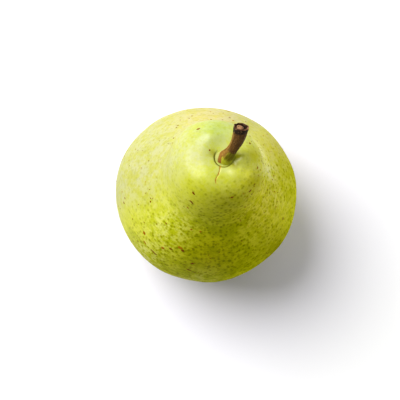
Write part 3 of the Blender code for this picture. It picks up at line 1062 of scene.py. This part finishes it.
def bark_colours(look, share, angle, ring):
    """Fleshy foot, pale towards the light and green away from it, with a tongue of rusty bark that
    widens as it rises, then a stretch that is olive away from the light, then bark that is dark
    away from it, both golden towards the light as painted light, and nearly black under the broken end."""
    # How far each place faces the main light.
    lit_side = 0.5 - 0.5 * np.cos(angle)
    noise = value_noise(ring, 0.8, 21)
    up_tongue = (share - 0.17) / 0.20
    past_middle = angle - math.radians(72.0) - math.radians(90.0) * up_tongue
    half_width = math.radians(4.0) + math.radians(34.0) * up_tongue
    beside = np.abs(past_middle) - half_width + 0.12 * noise
    tongue = (1.0 - smoothstep(beside, -0.10, 0.12)) * smoothstep(share, 0.155, 0.18)
    shadow = bell(past_middle + half_width + 0.30, 0.35) * smoothstep(share, 0.13, 0.19)
    foot = blend_colours(smoothstep(past_middle, -0.2, 0.3), look.foot_green, look.foot_pale)
    foot = blend_colours(0.15 * shadow, foot, look.stalk_olive)
    foot = blend_colours(tongue, foot, look.bark_rust)
    # Painted light: golden on the side towards the light, on the stalk and on the bark.
    stalk = blend_colours(smoothstep(lit_side + 0.12 * noise, 0.45, 0.75), look.stalk_olive, look.bark_lit_gold)
    wood = blend_colours(smoothstep(lit_side + 0.10 * noise, 0.74, 0.98), look.bark_dark, look.bark_lit_gold)
    colours = blend_colours(smoothstep(share + 0.03 * noise, 0.31, 0.38), foot, stalk)
    colours = blend_colours(smoothstep(share + 0.02 * noise, 0.485, 0.515), colours, wood)
    burnt = smoothstep(share + 0.03 * noise - 0.035 * np.cos(angle), 0.89, 0.94)
    return blend_colours(burnt, colours, look.char_colour)


def end_colours(look, inward, around):
    """Mottled red-brown rim, paler on the right, a gap blackened as painted shade, and dry cracked pith.
    """
    rim, pith, char = (np.array(part) for part in (look.rim_colour, look.pith_colour, look.char_colour))
    across, up = end_plane(inward, around)
    core, gap = end_parts(across, up)
    flat = np.stack([across, up], axis=-1)
    cracks = smoothstep(value_noise(flat, 0.16, 31) + 0.6 * value_noise(flat, 0.08, 32), 0.1, 0.9)
    mottle = 0.5 + 0.5 * value_noise(flat, 0.22, 33)
    colours = blend_colours(mottle, rim, rim * 0.35)
    colours = blend_colours(smoothstep(across, 0.35, 0.75) * (1.0 - mottle) * 0.7, colours, pith)
    # Painted shade: the deep gap behind the pith, blackened.
    colours = blend_colours(gap, colours, char * 0.5)
    return blend_colours(core, colours, pith * (1.0 - 0.75 * cracks)[..., None])


class PEAR_OT_stem(bpy.types.Operator):
    """Build the stem: a ribbed tube along its bent line, over the broken rim and into the pith."""

    bl_idname = "pear.stem"
    bl_label = "Stem"

    def execute(self, context):
        look = context.scene.pear_stem
        around = full_turn(BARK_COLUMNS)
        share, angle = np.meshgrid(np.linspace(0.0, 1.0, BARK_ROWS), around, indexing="ij")
        ring = np.stack([np.cos(angle), np.sin(angle), share * STEM_SLENDERNESS], axis=-1)
        bark, woody, slant, end_frame = bark_surface(look, share, angle, ring)
        inward = np.linspace(0.0, 1.0, END_ROWS + 1)[1:]
        end = end_surface(look, inward, around, slant, end_frame)
        foot = np.repeat(stem_path(share[:1, :1])[0], BARK_COLUMNS, axis=1)
        vertices, quads, triangles = closed_grid(np.concatenate([foot, bark, end]))
        mesh = new_mesh("pear_stem", vertices, quads, triangles)

        bark_tone = bark_colours(look, share, angle, ring)
        tone = np.concatenate([bark_tone[:1], bark_tone, end_colours(look, inward, around)])
        wood = np.concatenate([woody[:1], woody, np.ones(end.shape[:2])])
        grain = np.concatenate([ring[:1], ring, np.repeat(ring[-1:], END_ROWS, axis=0)])
        add_tone(mesh, ring_values(tone))
        add_numbers(mesh, "woody", ring_values(wood))
        add_numbers(mesh, "grain", ring_values(grain * (1.0, 1.0, STEM_LENGTH / STEM_SLENDERNESS)))
        add_piece("pear_stem", mesh, stem_material(look), "stem")
        return {"FINISHED"}


def sepal_surface(look, share, angle, low, high, hub):
    """Both sides of the sepals, in metres, and how far each place is up an arm: a star whose edge
    is a power of a cosine, dropping outward from the hub, curled, pleated, and thin at its edge."""
    reach = high[0] - hub[0]
    arm = 0.5 + 0.5 * np.cos(look.sepals * angle)
    edge = reach * (0.33 + 0.62 * arm**0.8) * (1.0 + 0.05 * np.sin(3.0 * angle + 1.0))
    radius = share * edge
    top = hub[2]
    drop = (high[2] - low[2] - 0.0009) * smoothstep(radius, 0.0011, reach)
    curl = (0.00035 * np.sin(2.0 * angle + 0.5) + 0.0003 * (1.0 - arm)) * share**2
    pleat = 0.00022 * np.cos(look.sepals * 4.0 * angle) * share * arm
    level = np.minimum(top - drop + curl + pleat, top)
    upper = np.stack([hub[0] + radius * np.cos(angle), hub[1] + radius * np.sin(angle), level], axis=-1)
    thickness = look.thickness * (1.0 - 0.6 * share)[..., None]
    return np.concatenate([upper, (upper - thickness * (0.0, 0.0, 1.0))[::-1]]), arm


def stamen_surface(share, angle, hub, turn, random):
    """A dry thread that hangs from the hub, in metres: thin, tapering, a little bent, with a
    swollen end."""
    start = random.uniform(0.0006, 0.0012)
    spread = random.uniform(0.0004, 0.0013)
    length_down = random.uniform(0.0016, 0.0028)
    heading = turn + random.uniform(-0.5, 0.5) * share
    away = start + spread * share**1.5
    level = hub[2] - 0.0002 - length_down * share
    centre = np.stack([hub[0] + away * np.cos(heading), hub[1] + away * np.sin(heading), level], axis=-1)
    width = 0.00009 * (1.0 - 0.4 * share) + 0.00012 * bell(share - 0.93, 0.07)
    width = width * np.sqrt(np.clip(1.0 - (2.0 * share - 1.0) ** 12, 0.0, 1.0))
    return centre + width[..., None] * np.stack([np.cos(angle), np.sin(angle), 0.0 * angle], axis=-1)


class PEAR_OT_calyx(bpy.types.Operator):
    """Build the dried calyx: sepals joined in a ring and curled, with dry stamens in the middle."""

    bl_idname = "pear.calyx"
    bl_label = "Calyx"

    def execute(self, context):
        look = context.scene.pear_calyx
        hub = (AXIS[0][0] * MM, AXIS[0][1] * MM, CALYX_HIGH[2] - 0.0003)
        material = calyx_material(look)
        rows = np.linspace(0.0, 1.0, SEPAL_ROWS)
        share, angle = np.meshgrid(rows, full_turn(SEPAL_COLUMNS), indexing="ij")
        surface, arm = sepal_surface(look, share, angle, CALYX_LOW, CALYX_HIGH, hub)
        mesh, _ = joined_mesh("calyx_sepals", [surface])
        rib = bell(1.0 - arm, 0.18) * (1.0 - share) + bell(share, 0.3)
        shade = ring_values(np.clip(np.concatenate([rib, rib[::-1]]), 0.0, 1.0))
        add_tone(mesh, blend_colours(shade, look.sepal_dark, look.sepal_pale))
        add_piece("calyx_sepals", mesh, material, "calyx")

        if not look.stamens:
            return {"FINISHED"}
        random = np.random.default_rng(STAMEN_SEED)
        rows = np.linspace(0.0, 1.0, STAMEN_ROWS)
        share, angle = np.meshgrid(rows, full_turn(STAMEN_SIDES), indexing="ij")
        threads = []
        for index in range(look.stamens):
            turn = TURN * index / look.stamens + random.uniform(-0.15, 0.15)
            threads.append(stamen_surface(share, angle, hub, turn, random))
        mesh, count = joined_mesh("calyx_stamens", threads)
        add_tone(mesh, np.tile(look.sepal_pale, (count * look.stamens, 1)))
        add_piece("calyx_stamens", mesh, material, "calyx")
        return {"FINISHED"}


class PEAR_OT_stage(bpy.types.Operator):
    """Set the white floor, the large soft light, the pale surroundings and the camera overhead."""

    bl_idname = "pear.stage"
    bl_label = "Stage"

    def execute(self, context):
        look = context.scene.pear_stage
        self.floor(look)
        self.light(look)
        self.surroundings(look)
        self.camera(look)
        context.scene.view_settings.view_transform = "Standard"
        return {"FINISHED"}

    @staticmethod
    def place(name, data):
        """Put a new object that holds the data in the scene."""
        thing = bpy.data.objects.new(name, data)
        bpy.context.scene.collection.objects.link(thing)
        return thing

    def floor(self, look):
        """One large square."""
        half = FLOOR_HALF
        mesh = bpy.data.meshes.new("floor")
        corners = [(-half, -half, 0.0), (half, -half, 0.0), (half, half, 0.0), (-half, half, 0.0)]
        mesh.from_pydata(corners, [], [(0, 1, 2, 3)])
        mesh.materials.append(floor_material(look))
        floor = self.place("floor", mesh)

    def light(self, look):
        """A round area light; its power gives the floor the stated light at the object."""
        azimuth, elevation, distance = look.light_azimuth, look.light_elevation, look.light_distance
        level = math.cos(elevation)
        toward = Vector((math.cos(azimuth) * level, math.sin(azimuth) * level, math.sin(elevation)))
        lamp = bpy.data.lights.new("main_light", "AREA")
        lamp.shape = "DISK"
        lamp.size = look.light_width
        lamp.energy = look.light_strength * (math.pi * distance) ** 2 / math.sin(elevation)
        holder = self.place("main_light", lamp)
        holder.location = toward * distance
        holder.rotation_mode = "QUATERNION"
        holder.rotation_quaternion = (-toward).to_track_quat("-Z", "Y")

    @staticmethod
    def surroundings(look):
        """White to the eye; as light, brighter towards +X and +Y."""
        world = bpy.data.worlds.new("studio")
        bpy.context.scene.world = world
        graph = Graph(world, "Background")
        direction = graph.node("ShaderNodeTexCoord", out=0)
        right = graph.node("ShaderNodeSeparateXYZ", None, direction, out=0)
        back = graph.node("ShaderNodeSeparateXYZ", None, direction, out=1)
        fill = graph.maths("MAXIMUM", right, 0.0) * look.fill_right
        fill = fill + graph.maths("MAXIMUM", back, 0.0) * look.fill_back + look.fill_all
        seen = graph.node("ShaderNodeLightPath", out=0)
        graph.finish({"Color": rgba((1.0, 1.0, 1.0))}, Strength=graph.maths("MAXIMUM", seen, fill))

    def camera(self, look):
        """Straight down over the middle of the fruit; the lens takes in the frame width at the
        fruit's widest height."""
        widest = FRUIT_LOW[2] + WIDEST_SHARE * (FRUIT_HIGH[2] - FRUIT_LOW[2])
        lens = bpy.data.cameras.new("camera")
        lens.sensor_width = 36.0
        lens.lens = lens.sensor_width * (look.camera_height - widest) / look.frame_width
        camera = self.place("camera", lens)
        camera.location = (CAMERA_X, CAMERA_Y, look.camera_height)
        bpy.context.scene.camera = camera


class PEAR_PT_panel(bpy.types.Panel):
    """Lists the pear's pieces and their settings."""

    bl_label = "Pear"
    bl_idname = "PEAR_PT_panel"
    bl_space_type = "VIEW_3D"
    bl_region_type = "UI"
    bl_category = "Pear"

    def draw(self, context):
        for operator, group in STEPS:
            box = self.layout.box()
            box.operator(operator.bl_idname)
            settings = getattr(context.scene, group)
            for name in settings.bl_rna.properties.keys():
                if name not in ("rna_type", "name"):
                    box.prop(settings, name)


GROUPS = (
    ("pear_skin", PEAR_PG_skin),
    ("pear_flecks", PEAR_PG_flecks),
    ("pear_stem", PEAR_PG_stem),
    ("pear_calyx", PEAR_PG_calyx),
    ("pear_stage", PEAR_PG_stage),
)
STEPS = (
    (PEAR_OT_skin, "pear_skin"),
    (PEAR_OT_flecks, "pear_flecks"),
    (PEAR_OT_stem, "pear_stem"),
    (PEAR_OT_calyx, "pear_calyx"),
    (PEAR_OT_stage, "pear_stage"),
)


def register():
    for name, group in GROUPS:
        bpy.utils.register_class(group)
        setattr(bpy.types.Scene, name, PointerProperty(type=group))
    for operator, _ in STEPS:
        bpy.utils.register_class(operator)
    bpy.utils.register_class(PEAR_PT_panel)


def unregister():
    bpy.utils.unregister_class(PEAR_PT_panel)
    for operator, _ in reversed(STEPS):
        bpy.utils.unregister_class(operator)
    for name, group in reversed(GROUPS):
        delattr(bpy.types.Scene, name)
        bpy.utils.unregister_class(group)


def main():
    """Build every piece and the stage."""
    register()
    bpy.ops.pear.skin()
    bpy.ops.pear.flecks()
    bpy.ops.pear.stem()
    bpy.ops.pear.calyx()
    bpy.ops.pear.stage()


if __name__ == "__main__":
    main()
